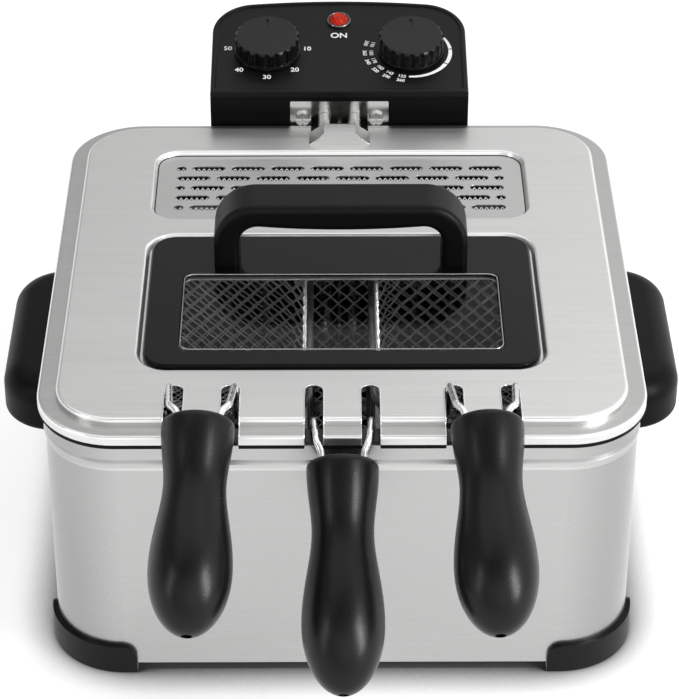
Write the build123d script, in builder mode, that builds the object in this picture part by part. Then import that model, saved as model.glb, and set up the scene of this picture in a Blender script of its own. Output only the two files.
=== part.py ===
from build123d import *
import os
from math import atan2, cos, degrees, radians, sin, tan

# Counter-top deep fryer: a stainless housing with a lift-out oil pot, a lift-off control unit
# that carries the immersion heater, two small wire baskets nested in a large one, and a lid.
# Millimetres. X runs across, Y from the grips in front to the control unit behind, Z up from
# the table. The origin is the middle of the footprint, on the table.

# Housing
housing_width = 266.0
housing_depth = 271.0
housing_corner = 33.0
housing_height = 123.0
housing_sheet = 0.8
ground_gap = 4.0
rim_flange = 9.0
base_flange = 16.0
bead_height = 4.4
bead_rise = 0.9
bead_drop = 7.5

# Base plate and feet
base_sheet = 1.0
base_vent_length = 46.0
base_vent_width = 5.0
base_vent_pitch = 16.0
base_vent_count = 7
foot_length = 41.0
foot_wrap = 2.4
foot_height = 14.6
foot_sole = 22.0
foot_end_round = 7.0
foot_screw_inset = 15.0

# Side handles
ear_length = 110.0
ear_reach = 26.5
ear_height = 25.0
ear_bottom = 80.0
ear_shift = -4.0
ear_corner = 24.0
ear_crown = 11.0
ear_edge = 3.0
ear_lip = 6.0
ear_back = 3.0
ear_roof = 6.5
ear_end = 12.0
ear_screw_inset = 7.0

# Oil pot
pot_clearance = 1.0
pot_wall = 1.2
pot_bottom = 14.0
pot_floor_round = 12.0
pot_flange_inset = 1.5
pot_mark_length = 34.0
pot_mark_width = 1.6
pot_mark_rise = 0.6
pot_mark_low = 62.0
pot_mark_high = 92.0

# Lid
lid_overhang = 3.0
lid_sheet = 0.8
lid_gap = 2.5
lid_skirt = 4.5
lid_ledge = 8.4
lid_step = 3.5
lid_roll = 1.4
lid_shoulder = 1.8
seal_inset = 1.8
seal_width = 3.0
seal_lip_inset = 0.4
wire_slot_width = 8.2
wire_slot_pitch = 25.0
wire_slot_reach = 34.5
tunnel_width = 31.0
tunnel_rise = 5.0
tunnel_length = 26.5
tunnel_notch = 14.3
tunnel_side_angle = 34.0
tunnel_nose = 2.0

# Lid window
window_width = 180.5
window_depth = 111.2
window_corner = 12.0
window_y = -33.2
window_rise = 3.2
window_edge = 0.9
bed_margin = 2.8
bed_depth = 2.6
bed_draft = 32.0
bed_round = 1.4
view_width = 147.0
view_depth = 63.4
view_corner = 4.0
view_y = -44.4
glass_sheet = 2.0
glass_lap = 3.5

# Lid vent and filter
vent_width = 185.0
vent_depth = 66.0
vent_corner = 12.0
vent_y = 72.4
vent_sink = 2.2
vent_slot_length = 16.7
vent_slot_width = 4.8
vent_slot_pitch = 19.85
vent_slot_count = 8
vent_row_pitch = 9.5
vent_row_count = 5
vent_row_shift = 3.6
vent_hole_radius = 2.4
vent_hole_gap = 5.3
filter_sheet = 1.6
filter_margin = 6.0
tray_lip = 4.0
tray_sheet = 0.8
tray_bar = 6.0

# Lid handle
arch_width = 120.0
arch_height = 32.0
arch_depth = 24.7
arch_y = 6.8
arch_post = 12.0
arch_bar = 10.5
arch_bow = 2.6
arch_corner = 20.0
arch_inner_corner = 9.0
arch_edge = 3.2

# Control unit
control_gap = 1.5
control_width = 133.0
control_depth = 74.0
control_crown = 5.0
control_corner = 23.0
control_face = 152.5
control_bottom = 60.0
control_foot_depth = 44.0
control_rear_break = 118.0
control_wall = 2.4
control_block = 10.0
panel_tilt = 11.5
panel_sheet = 3.0
panel_border = 2.6
panel_sink = 0.7
panel_edge = 1.2

# Guide rails behind the housing
rail_x = 42.0
rail_bottom = 66.0
rail_top = 112.0
rail_stem_width = 4.0
rail_head_width = 10.0
rail_head_depth = 2.4
rail_web = 2.0

# Knobs and lamp
knob_x = 37.5
knob_up = 33.5
knob_radius = 17.2
knob_height = 10.5
knob_base = 2.0
knob_grip_radius = 16.6
knob_edge = 0.9
knob_scallops = 20
knob_scallop_radius = 1.9
knob_mark_length = 5.5
knob_mark_width = 1.5
knob_mark_depth = 0.6
knob_lift = 0.4
shaft_radius = 3.0
shaft_engage = 7.0
shaft_below = 9.0
timer_radius = 19.0
timer_height = 20.0
thermostat_width = 34.0
thermostat_height = 22.0
lamp_up = 58.5
lamp_radius = 5.0
lamp_bezel_radius = 6.3
lamp_bezel_rise = 1.5
lamp_dome = 2.2

# Inner electrics and the inlet
inlet_width = 34.0
inlet_height = 19.0
inlet_z = 138.0
inlet_depth = 15.0
inlet_proud = 1.2
inlet_wall = 2.2
inlet_pocket = 9.0
pin_radius = 2.2
pin_length = 5.0
pin_x = 6.5
block_width = 36.0
block_depth = 12.0
block_height = 14.0
switch_width = 20.0
switch_depth = 7.0
switch_height = 12.0
cutout_radius = 8.0
cutout_height = 6.0

# Heating element
tube_radius = 3.25
tube_spacing = 15.2
tube_z = 136.7
tube_bend = 12.0
leg_back_gap = 13.0
loop_lift = 4.0
loop_outer_x = 78.0
loop_inner_x = 27.0
loop_front = 92.0
loop_rear = 62.0
loop_return = 38.0
plate_width = 51.0
plate_height = 21.0
plate_sheet = 1.5
plate_sink = 2.6
plate_z = 136.4
plate_screw_x = 19.0
probe_radius = 1.1
probe_z = 131.2
bulb_radius = 2.6
bulb_length = 50.0
strap_width = 10.0
strap_sheet = 1.2
strap_overhang = 10.0
strap_spacing = 84.0

# Baskets
basket_wire = 1.6
basket_rod = 1.2
basket_round = 20.0
mesh_sheet = 1.0
mesh_cell = 27.0
mesh_strand = 4.5
mesh_edge = 5.0
large_width = 232.0
large_depth = 202.0
large_rim = 119.0
small_width = 98.0
small_depth = 184.0
small_x = 62.0
small_rim = 120.5
runner_count = 3

# Basket handles
fork_radius = 1.5
fork_bend = 7.0
fork_ease = 6.0
fork_lead = 5.0
fork_pass_y = -139.0
socket_wall = 1.3
socket_length = 16.0
socket_above_rim = 2.0
socket_plate = 1.4
socket_plate_height = 9.0
fork_in_grip = 20.0
large_fork_spread = 13.0
large_fork_pass = 11.6
large_fork_top = 134.0
large_fork_pass_z = 132.5
large_grip_y = -147.5
large_grip_z = 126.5
large_grip_slope = 36.4
large_grip_length = 103.0
small_fork_spread = 14.6
small_fork_pass = 12.9
small_fork_top = 142.0
small_fork_pass_z = 151.5
small_grip_y = -148.0
small_grip_z = 149.0
small_grip_slope = 32.2
small_grip_length = 97.0
small_grip_splay = 2.3
fork_close = 9.3
grip_cap = 15.8
grip_neck = 13.5
grip_bulge = 17.9
grip_neck_at = 0.3
grip_bulge_at = 0.7
grip_cap_round = 3.0
ellipse_pull = 0.5523
grip_eye_radius = 2.4
grip_eye_depth = 7.0

# Screws
screw_radius = 1.9
screw_head_radius = 3.6
screw_head_height = 2.2
screw_slot_width = 0.9
screw_slot_depth = 0.8
screw_grip = 9.0

# Clearances
fit = 0.1
seat = 0.3
slide_gap = 0.4

# Heights that follow from the sizes above
housing_top = ground_gap + housing_height
pot_top = housing_top + pot_wall
lid_bottom = housing_top + lid_gap
lid_ledge_top = lid_bottom + lid_skirt
lid_top = lid_ledge_top + lid_step
bed_floor = lid_top - bed_depth
window_top = bed_floor + window_rise
vent_floor = lid_top - vent_sink
pot_floor = pot_bottom + pot_wall
loop_z = pot_floor + loop_lift + tube_radius
strap_bottom = loop_z + tube_radius + fit
strap_top = strap_bottom + strap_sheet
large_base = strap_top + seat

# Plan sizes that follow
lid_width = housing_width + 2 * lid_overhang
lid_depth = housing_depth + 2 * lid_overhang
lid_corner = housing_corner + lid_overhang
pot_inset = rim_flange + pot_clearance
pot_width = housing_width - 2 * pot_inset
pot_depth = housing_depth - 2 * pot_inset
pot_corner = housing_corner - pot_inset
control_front = lid_depth / 2 + control_gap
control_rear = control_front + control_depth
socket_radius = fork_radius + fit + socket_wall
pot_inner_front = pot_wall - pot_depth / 2
large_front = pot_inner_front + 2 * socket_radius + 4 * seat + fit
small_front = large_front + 2 * basket_wire + mesh_sheet + 2 * socket_radius + 2 * seat + 2 * fit
leg_y = pot_depth / 2 - pot_wall - leg_back_gap + tube_radius

# The origin stands midway between the grips' tips and the control unit's back
front_reach = large_grip_length * cos(radians(large_grip_slope)) - large_grip_y
housing_y = (front_reach - control_rear) / 2


def level(z, x=0.0, y=0.0):
    """Horizontal plane at height z, placed from the housing's centre."""
    return Plane((x, housing_y + y, z))


def upright(y):
    """Vertical plane across the fryer, seen from the front: X to the right and Z up."""
    return Plane((0, housing_y + y, 0), x_dir=(1, 0, 0), z_dir=(0, -1, 0))


def sideways(x):
    """Vertical plane along the fryer, seen from the right: Y to the right and Z up."""
    return Plane((x, housing_y, 0), x_dir=(0, 1, 0), z_dir=(1, 0, 0))


def write(builder, name):
    """Name the finished piece and write it."""
    builder.part.label = name
    export_step(builder.part, f"parts/{name}.step")


os.makedirs("parts", exist_ok=True)

# Outer housing: a deep-drawn wrap, flanged inwards at both ends, with a pressed bead
bead_mid = housing_top - bead_drop - bead_height / 2
bead_slope = degrees(atan2(bead_rise, bead_height / 2))
ear_screw_y = ear_length / 2 - ear_screw_inset
ear_mid = ear_bottom + ear_height / 2
foot_screw_x = housing_width / 2 - foot_screw_inset
foot_screw_y = housing_depth / 2 - foot_screw_inset
screw_hole = screw_radius + fit

with BuildPart() as outer_housing:
    with BuildSketch(level(ground_gap)):
        RectangleRounded(housing_width, housing_depth, housing_corner)
    extrude(amount=housing_height)
    with BuildSketch(level(bead_mid)):
        RectangleRounded(
            housing_width + 2 * bead_rise, housing_depth + 2 * bead_rise, housing_corner + bead_rise
        )
    extrude(amount=bead_height / 2, both=True, taper=bead_slope)
    with BuildSketch(level(ground_gap + housing_sheet)):
        RectangleRounded(
            housing_width - 2 * housing_sheet,
            housing_depth - 2 * housing_sheet,
            housing_corner - housing_sheet,
        )
    extrude(amount=housing_height - 2 * housing_sheet, mode=Mode.SUBTRACT)
    with BuildSketch(level(housing_top)):
        RectangleRounded(
            housing_width - 2 * rim_flange, housing_depth - 2 * rim_flange, housing_corner - rim_flange
        )
    extrude(amount=-2 * housing_sheet, mode=Mode.SUBTRACT)
    with BuildSketch(level(ground_gap)):
        RectangleRounded(
            housing_width - 2 * base_flange,
            housing_depth - 2 * base_flange,
            housing_corner - base_flange,
        )
    extrude(amount=2 * housing_sheet, mode=Mode.SUBTRACT)
    with BuildSketch(sideways(0)):
        with Locations((ear_shift - ear_screw_y, ear_mid), (ear_shift + ear_screw_y, ear_mid)):
            Circle(screw_hole)
    extrude(amount=housing_width, both=True, mode=Mode.SUBTRACT)
    with BuildSketch(level(ground_gap)):
        with GridLocations(2 * foot_screw_x, 2 * foot_screw_y, 2, 2):
            Circle(screw_hole)
    extrude(amount=2 * housing_sheet, mode=Mode.SUBTRACT)
write(outer_housing, "outer_housing")

# Base plate, laid on the bottom flange
base_bottom = ground_gap + housing_sheet

with BuildPart() as base_plate:
    with BuildSketch(level(base_bottom)):
        RectangleRounded(
            housing_width - 2 * housing_sheet - 2 * seat,
            housing_depth - 2 * housing_sheet - 2 * seat,
            housing_corner - housing_sheet - seat,
        )
        with GridLocations(2 * base_vent_length, base_vent_pitch, 2, base_vent_count):
            SlotOverall(base_vent_length, base_vent_width, mode=Mode.SUBTRACT)
        with GridLocations(2 * foot_screw_x, 2 * foot_screw_y, 2, 2):
            Circle(screw_hole, mode=Mode.SUBTRACT)
    extrude(amount=base_sheet)
write(base_plate, "base_plate")

# Corner feet: each wraps one lower corner and carries the bottom flange
foot_x = housing_width / 2 + foot_wrap - foot_length / 2
foot_y = housing_depth / 2 + foot_wrap - foot_length / 2


def is_foot_end(edge):
    """Tell whether a foot's top edge lies across one of its two ends."""
    end_x = abs(edge.center().X) - (foot_x - foot_length / 2)
    end_y = abs(edge.center().Y - housing_y) - (foot_y - foot_length / 2)
    return min(abs(end_x), abs(end_y)) < fit


for corner, side_x, side_y in (
    ("front_left", -1, -1),
    ("front_right", 1, -1),
    ("rear_left", -1, 1),
    ("rear_right", 1, 1),
):
    with BuildPart() as foot:
        with BuildSketch(level(0)):
            RectangleRounded(
                housing_width + 2 * foot_wrap, housing_depth + 2 * foot_wrap, housing_corner + foot_wrap
            )
            with Locations((side_x * foot_x, side_y * foot_y)):
                Rectangle(foot_length, foot_length, mode=Mode.INTERSECT)
            RectangleRounded(
                housing_width - 2 * foot_sole,
                housing_depth - 2 * foot_sole,
                housing_corner - foot_sole,
                mode=Mode.SUBTRACT,
            )
        extrude(amount=foot_height)
        with BuildSketch(level(ground_gap)):
            RectangleRounded(
                housing_width + 2 * fit, housing_depth + 2 * fit, housing_corner + fit
            )
        extrude(amount=foot_height, mode=Mode.SUBTRACT)
        fillet(foot.edges().group_by(Axis.Z)[-1].filter_by(is_foot_end), foot_end_round)
        with BuildSketch(level(0)):
            with Locations((side_x * foot_screw_x, side_y * foot_screw_y)):
                Circle(screw_head_radius + fit)
        extrude(amount=screw_head_height + seat, mode=Mode.SUBTRACT)
        with BuildSketch(level(0)):
            with Locations((side_x * foot_screw_x, side_y * foot_screw_y)):
                Circle(screw_hole)
        extrude(amount=ground_gap, mode=Mode.SUBTRACT)
    write(foot, f"foot_{corner}")

with BuildPart() as foot_screws:
    with BuildSketch(level(seat)):
        with GridLocations(2 * foot_screw_x, 2 * foot_screw_y, 2, 2):
            Circle(screw_head_radius)
    extrude(amount=screw_head_height)
    with BuildSketch(level(seat)):
        with GridLocations(2 * foot_screw_x, 2 * foot_screw_y, 2, 2):
            Circle(screw_radius)
    extrude(amount=base_bottom + base_sheet + screw_head_height)
write(foot_screws, "foot_screws")

# Side handles: closed on top, with a finger pocket open below
for name, side in (("left", -1), ("right", 1)):
    wall_x = side * housing_width / 2
    with BuildPart() as ear:
        with BuildSketch(level(ear_bottom, y=ear_shift)):
            with Locations((wall_x + side * ear_reach / 2, 0)):
                Rectangle(ear_reach, ear_length)
            fillet(vertices().sort_by(Axis.X, reverse=side > 0)[:2], ear_corner)
        extrude(amount=ear_height)
        rim = ear.edges().filter_by(lambda edge: abs(edge.center().X) > housing_width / 2 + fit)
        fillet(rim.group_by(Axis.Z)[-1], ear_crown)
        fillet(rim.group_by(Axis.Z)[0], ear_edge)
        with BuildSketch(level(ear_bottom, y=ear_shift)):
            with Locations((wall_x + side * (ear_back + ear_reach - ear_lip) / 2, 0)):
                Rectangle(ear_reach - ear_lip - ear_back, ear_length - 2 * ear_end)
            fillet(vertices().sort_by(Axis.X, reverse=side > 0)[:2], ear_corner / 3)
        extrude(amount=ear_height - ear_roof, mode=Mode.SUBTRACT)
        with BuildSketch(sideways(wall_x)):
            with Locations((ear_shift - ear_screw_y, ear_mid), (ear_shift + ear_screw_y, ear_mid)):
                Circle(screw_hole)
        extrude(amount=side * screw_grip, mode=Mode.SUBTRACT)
    write(ear, f"side_handle_{name}")

with BuildPart() as side_handle_screws:
    for side in (-1, 1):
        with BuildSketch(sideways(side * (housing_width / 2 - housing_sheet))):
            with Locations((ear_shift - ear_screw_y, ear_mid), (ear_shift + ear_screw_y, ear_mid)):
                Circle(screw_head_radius)
        extrude(amount=-side * screw_head_height)
        with BuildSketch(sideways(side * (housing_width / 2 - housing_sheet))):
            with Locations((ear_shift - ear_screw_y, ear_mid), (ear_shift + ear_screw_y, ear_mid)):
                Circle(screw_radius)
        extrude(amount=side * (screw_grip - fit))
write(side_handle_screws, "side_handle_screws")

# Guide rails: T-shaped, on the housing's back, for the control unit's grooves
rail_stem = control_front - housing_depth / 2 + rail_web

for name, side in (("left", -1), ("right", 1)):
    with BuildPart() as rail:
        with BuildSketch(level(rail_bottom, x=side * rail_x, y=housing_depth / 2)):
            with Locations((0, rail_stem / 2)):
                Rectangle(rail_stem_width, rail_stem)
            with Locations((0, rail_stem + rail_head_depth / 2)):
                Rectangle(rail_head_width, rail_head_depth)
        extrude(amount=rail_top - rail_bottom)
    write(rail, f"guide_rail_{name}")

# Oil pot, hung by its flange, with two pressed level marks
with BuildPart() as oil_pot:
    with BuildSketch(level(pot_bottom)):
        RectangleRounded(pot_width, pot_depth, pot_corner)
    extrude(amount=pot_top - pot_bottom)
    fillet(oil_pot.edges().group_by(Axis.Z)[0], pot_floor_round)
    offset(amount=-pot_wall, openings=oil_pot.faces().sort_by(Axis.Z)[-1])
    with BuildSketch(level(housing_top)):
        RectangleRounded(
            housing_width - 2 * pot_flange_inset,
            housing_depth - 2 * pot_flange_inset,
            housing_corner - pot_flange_inset,
        )
        RectangleRounded(
            pot_width - 2 * pot_wall, pot_depth - 2 * pot_wall, pot_corner - pot_wall, mode=Mode.SUBTRACT
        )
    extrude(amount=pot_wall)
    with BuildSketch(sideways(pot_width / 2 - pot_wall)):
        with Locations((0, pot_mark_low), (0, pot_mark_high)):
            SlotOverall(pot_mark_length, pot_mark_width)
    extrude(amount=-pot_mark_rise)
write(oil_pot, "oil_pot")

# Control unit
panel_rise = tan(radians(panel_tilt))
panel_normal = (0, -sin(radians(panel_tilt)), cos(radians(panel_tilt)))
panel_plane = Plane(
    (0, housing_y + control_front, control_face), x_dir=(1, 0, 0), z_dir=panel_normal
)
panel_under = Plane(
    (0, housing_y + control_front, control_face - panel_sheet), x_dir=(1, 0, 0), z_dir=panel_normal
)
panel_depth = control_depth / cos(radians(panel_tilt))
panel_depth_below = panel_sheet * cos(radians(panel_tilt))
rear_slope = Plane(
    (0, housing_y + control_rear, control_rear_break),
    x_dir=(1, 0, 0),
    z_dir=(0, control_rear_break - control_bottom, control_foot_depth - control_depth),
)
tube_x = tube_spacing / 2
tube_hole = tube_radius + fit
block_back = control_front + control_block


def control_outline(width, depth, corner):
    """Draw the control unit's plan: square in front, round-cornered and bowed behind."""
    with BuildLine() as outline:
        front = Line((-width / 2, 0), (width / 2, 0))
        right = Line(front @ 1, (width / 2, depth - control_crown))
        rear = ThreePointArc(right @ 1, (0, depth), (-width / 2, depth - control_crown))
        Line(rear @ 1, front @ 0)
    make_face(outline.edges())
    fillet(vertices().group_by(Axis.Y)[-1], corner)


def over_panel(x, up, height=0.0):
    """Plane on the sunk panel face, moved across, up the slope and off the face."""
    spot = panel_plane.from_local_coords((x, up, height - panel_sink))
    return Plane(spot, x_dir=(1, 0, 0), z_dir=panel_normal)


with BuildPart() as control_housing:
    with BuildSketch(level(control_bottom, y=control_front)):
        control_outline(control_width, control_depth, control_corner)
    extrude(amount=control_face + panel_rise * control_depth - control_bottom)
    split(bisect_by=panel_under, keep=Keep.BOTTOM)
    split(bisect_by=rear_slope, keep=Keep.BOTTOM)
    offset(amount=-control_wall, openings=control_housing.faces().sort_by(Axis.Z)[-1])
    with BuildSketch(level(control_bottom, y=control_front)):
        with Locations((0, control_block / 2)):
            Rectangle(control_width - 2 * control_wall, control_block)
    extrude(amount=control_face - panel_sheet - control_bottom)
    with BuildSketch(level(control_bottom, y=control_front)):
        for side in (-1, 1):
            with Locations((side * rail_x, rail_web / 2)):
                Rectangle(rail_stem_width + 2 * slide_gap, rail_web + slide_gap)
            with Locations((side * rail_x, rail_web + rail_head_depth / 2)):
                Rectangle(rail_head_width + 2 * slide_gap, rail_head_depth + 2 * slide_gap)
    extrude(amount=rail_top + seat - control_bottom, mode=Mode.SUBTRACT)
    with BuildSketch(upright(control_front)):
        with Locations((0, plate_z)):
            Rectangle(plate_width, plate_height)
    extrude(amount=-plate_sink, mode=Mode.SUBTRACT)
    with BuildSketch(upright(control_front)):
        with Locations((-tube_x, tube_z), (tube_x, tube_z)):
            Circle(tube_hole)
        with Locations((0, probe_z)):
            Circle(probe_radius + fit)
    extrude(amount=-control_block, mode=Mode.SUBTRACT)
    with BuildSketch(upright(control_front)):
        with Locations((-plate_screw_x, tube_z), (plate_screw_x, tube_z)):
            Circle(screw_hole)
    extrude(amount=-control_block, mode=Mode.SUBTRACT)
    with BuildSketch(upright(control_rear - inlet_depth)):
        with Locations((0, inlet_z)):
            Rectangle(inlet_width + 2 * fit, inlet_height + 2 * fit)
    extrude(amount=-2 * inlet_depth, mode=Mode.SUBTRACT)
write(control_housing, "control_housing")

with BuildPart() as control_panel:
    with BuildSketch(level(control_face - panel_sheet, y=control_front)):
        control_outline(control_width, control_depth, control_corner)
    extrude(amount=panel_sheet + 2 * panel_rise * control_depth)
    split(bisect_by=panel_plane, keep=Keep.BOTTOM)
    split(bisect_by=panel_under, keep=Keep.TOP)
    fillet(control_panel.faces().sort_by(Axis.Z)[-1].edges(), panel_edge)
    with BuildSketch(over_panel(0, panel_border)):
        control_outline(
            control_width - 2 * panel_border,
            panel_depth - 2 * panel_border,
            control_corner - panel_border,
        )
    extrude(amount=2 * panel_sink, mode=Mode.SUBTRACT)
    with BuildSketch(panel_plane):
        with Locations((-knob_x, knob_up), (knob_x, knob_up)):
            Circle(shaft_radius + slide_gap)
        with Locations((0, lamp_up)):
            Circle(lamp_radius + fit)
    extrude(amount=-2 * panel_sheet, mode=Mode.SUBTRACT)
write(control_panel, "control_panel")

# Knobs and their shafts, square to the sloping panel
for name, x in (("timer", -knob_x), ("temperature", knob_x)):
    with BuildPart() as knob:
        with BuildSketch(over_panel(x, knob_up, knob_lift)):
            Circle(knob_radius)
        extrude(amount=knob_base)
        with BuildSketch(over_panel(x, knob_up, knob_lift + knob_base)):
            Circle(knob_grip_radius)
        extrude(amount=knob_height - knob_base)
        chamfer(knob.faces().sort_by(Axis(panel_plane.origin, panel_normal))[-1].edges(), knob_edge)
        with BuildSketch(over_panel(x, knob_up, knob_lift + knob_base)):
            with PolarLocations(knob_grip_radius + knob_scallop_radius / 2, knob_scallops):
                Circle(knob_scallop_radius)
        extrude(amount=knob_height, mode=Mode.SUBTRACT)
        with BuildSketch(over_panel(x, knob_up, knob_lift + knob_height - knob_mark_depth)):
            with Locations((0, knob_grip_radius - knob_edge - knob_mark_length)):
                Rectangle(knob_mark_width, knob_mark_length)
        extrude(amount=knob_mark_depth, mode=Mode.SUBTRACT)
        with BuildSketch(over_panel(x, knob_up, knob_lift)):
            Circle(shaft_radius + fit / 2)
        extrude(amount=shaft_engage + fit, mode=Mode.SUBTRACT)
    write(knob, f"{name}_knob")
    with BuildPart() as shaft:
        with BuildSketch(over_panel(x, knob_up, knob_lift + shaft_engage)):
            Circle(shaft_radius)
        extrude(amount=-shaft_engage - knob_lift - panel_sheet - shaft_below)
    write(shaft, f"{name}_shaft")

# Timer, thermostat and the other electrics under the panel
device_top = panel_sink - panel_depth_below

with BuildPart() as timer_body:
    with BuildSketch(over_panel(-knob_x, knob_up, device_top)):
        Circle(timer_radius)
    extrude(amount=-timer_height)
    with BuildSketch(over_panel(-knob_x, knob_up, device_top)):
        Circle(shaft_radius + slide_gap)
    extrude(amount=-timer_height + control_wall, mode=Mode.SUBTRACT)
write(timer_body, "timer_body")

with BuildPart() as thermostat_body:
    with BuildSketch(over_panel(knob_x, knob_up, device_top)):
        RectangleRounded(thermostat_width, thermostat_width, control_wall)
    extrude(amount=-thermostat_height)
    with BuildSketch(over_panel(knob_x, knob_up, device_top)):
        Circle(shaft_radius + slide_gap)
    extrude(amount=-thermostat_height + control_wall, mode=Mode.SUBTRACT)
write(thermostat_body, "thermostat_body")

with BuildPart() as thermal_cutout:
    with BuildSketch(upright(block_back)):
        with Locations((rail_x, tube_z - thermostat_height)):
            Circle(cutout_radius)
    extrude(amount=-cutout_height)
write(thermal_cutout, "thermal_cutout")

with BuildPart() as terminal_block:
    with BuildSketch(upright(block_back)):
        with Locations((0, (rail_bottom + rail_top) / 2)):
            Rectangle(block_width, block_height)
        with Locations((0, (rail_bottom + rail_top) / 2)):
            with GridLocations(block_width / 4, block_height, 4, 2):
                Circle(screw_radius, mode=Mode.SUBTRACT)
    extrude(amount=-block_depth)
write(terminal_block, "terminal_block")

with BuildPart() as safety_switch:
    with BuildSketch(upright(block_back)):
        with Locations((-rail_x, (rail_bottom + rail_top) / 2)):
            RectangleRounded(switch_width, switch_height, control_wall / 2)
    extrude(amount=-switch_depth)
write(safety_switch, "safety_switch")

# Lamp
with BuildPart() as lamp_bezel:
    with BuildSketch(over_panel(0, lamp_up)):
        Circle(lamp_bezel_radius)
        Circle(lamp_radius + fit, mode=Mode.SUBTRACT)
    extrude(amount=lamp_bezel_rise)
    chamfer(
        lamp_bezel.faces().sort_by(Axis(panel_plane.origin, panel_normal))[-1].edges(),
        lamp_bezel_rise / 4,
    )
write(lamp_bezel, "lamp_bezel")

with BuildPart() as lamp_lens:
    with BuildSketch(over_panel(0, lamp_up, -panel_sheet)):
        Circle(lamp_radius)
    extrude(amount=panel_sheet + lamp_bezel_rise)
    with BuildSketch(over_panel(0, lamp_up, lamp_bezel_rise)):
        Circle(lamp_radius)
    extrude(amount=lamp_dome, taper=45)
write(lamp_lens, "lamp_lens")

# Power inlet with its two contact pins
with BuildPart() as power_inlet:
    with BuildSketch(upright(control_rear + inlet_proud)):
        with Locations((0, inlet_z)):
            Rectangle(inlet_width, inlet_height)
    extrude(amount=inlet_depth)
    with BuildSketch(upright(control_rear + inlet_proud)):
        with Locations((0, inlet_z)):
            RectangleRounded(inlet_width - 2 * inlet_wall, inlet_height - 2 * inlet_wall, inlet_wall)
    extrude(amount=inlet_pocket, mode=Mode.SUBTRACT)
write(power_inlet, "power_inlet")

with BuildPart() as inlet_pins:
    with BuildSketch(upright(control_rear + inlet_proud - inlet_pocket)):
        with Locations((-pin_x, inlet_z), (pin_x, inlet_z)):
            Circle(pin_radius)
    extrude(amount=-pin_length)
write(inlet_pins, "inlet_pins")

# Element plate in the control unit's front, with its screws
plate_front = control_front + plate_sink - plate_sheet

with BuildPart() as element_plate:
    with BuildSketch(upright(plate_front)):
        with Locations((0, plate_z)):
            RectangleRounded(plate_width - 2 * fit, plate_height - 2 * fit, plate_sheet)
        with Locations((-tube_x, tube_z), (tube_x, tube_z)):
            Circle(tube_hole, mode=Mode.SUBTRACT)
        with Locations((0, probe_z)):
            Circle(probe_radius + fit, mode=Mode.SUBTRACT)
        with Locations((-plate_screw_x, tube_z), (plate_screw_x, tube_z)):
            Circle(screw_hole, mode=Mode.SUBTRACT)
    extrude(amount=-plate_sheet)
write(element_plate, "element_plate")

with BuildPart() as element_screws:
    with BuildSketch(upright(plate_front)):
        with Locations((-plate_screw_x, tube_z), (plate_screw_x, tube_z)):
            Circle(screw_head_radius)
    extrude(amount=screw_head_height)
    with BuildSketch(upright(plate_front)):
        with Locations((-plate_screw_x, tube_z), (plate_screw_x, tube_z)):
            Circle(screw_radius)
    extrude(amount=-control_block + plate_sink)
    with BuildSketch(upright(plate_front - screw_head_height)):
        with Locations((-plate_screw_x, tube_z), (plate_screw_x, tube_z)):
            Rectangle(2 * screw_head_radius, screw_slot_width)
            Rectangle(screw_slot_width, 2 * screw_head_radius)
    extrude(amount=-screw_slot_depth, mode=Mode.SUBTRACT)
write(element_screws, "element_screws")

# Heating element: one tube, down from the control unit and round the pot's floor
with BuildPart() as heating_element:
    with BuildLine(level(0)) as tube_path:
        FilletPolyline(
            (-tube_x, block_back, tube_z),
            (-tube_x, leg_y, tube_z),
            (-tube_x, leg_y, loop_z),
            (-tube_x, loop_rear, loop_z),
            (-loop_outer_x, loop_rear, loop_z),
            (-loop_outer_x, -loop_front, loop_z),
            (-loop_inner_x, -loop_front, loop_z),
            (-loop_inner_x, loop_return, loop_z),
            (loop_inner_x, loop_return, loop_z),
            (loop_inner_x, -loop_front, loop_z),
            (loop_outer_x, -loop_front, loop_z),
            (loop_outer_x, loop_rear, loop_z),
            (tube_x, loop_rear, loop_z),
            (tube_x, leg_y, loop_z),
            (tube_x, leg_y, tube_z),
            (tube_x, block_back, tube_z),
            radius=tube_bend,
        )
    with BuildSketch(Plane(tube_path.line @ 0, z_dir=tube_path.line % 0)):
        Circle(tube_radius)
    sweep(path=tube_path.line)
write(heating_element, "heating_element")

# Thermostat probe: a thin tube between the legs, with its bulb inside the loop
bulb_front = loop_return + 2 * tube_radius

with BuildPart() as thermostat_probe:
    with BuildLine(level(0)) as probe_path:
        FilletPolyline(
            (0, block_back, probe_z),
            (0, leg_y, probe_z),
            (0, leg_y, loop_z),
            (0, bulb_front, loop_z),
            radius=tube_bend - tube_radius,
        )
    with BuildSketch(Plane(probe_path.line @ 0, z_dir=probe_path.line % 0)):
        Circle(probe_radius)
    sweep(path=probe_path.line)
    with BuildSketch(upright(bulb_front)):
        with Locations((0, loop_z)):
            Circle(bulb_radius)
    extrude(amount=-bulb_length)
write(thermostat_probe, "thermostat_probe")

# Straps over the loop: they carry the basket and stand on the pot's floor
strap_half = loop_outer_x + strap_overhang

with BuildPart() as element_straps:
    for place in (-1, 1):
        with BuildSketch(upright(place * strap_spacing / 2 - loop_lift)):
            with Locations((0, (strap_top + pot_floor + seat) / 2)):
                Rectangle(2 * strap_half, strap_top - pot_floor - seat)
            with Locations((0, (strap_bottom + pot_floor) / 2)):
                Rectangle(
                    2 * (strap_half - strap_sheet), strap_bottom - pot_floor, mode=Mode.SUBTRACT
                )
        extrude(amount=strap_width / 2, both=True)
write(element_straps, "element_straps")

# Lid: pressed sheet with a skirt, a ledge and a raised panel, hollow below
lid_front = -lid_depth / 2
panel_inset = lid_ledge + lid_sheet
tunnel_rear = lid_depth / 2 - tunnel_notch


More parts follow.
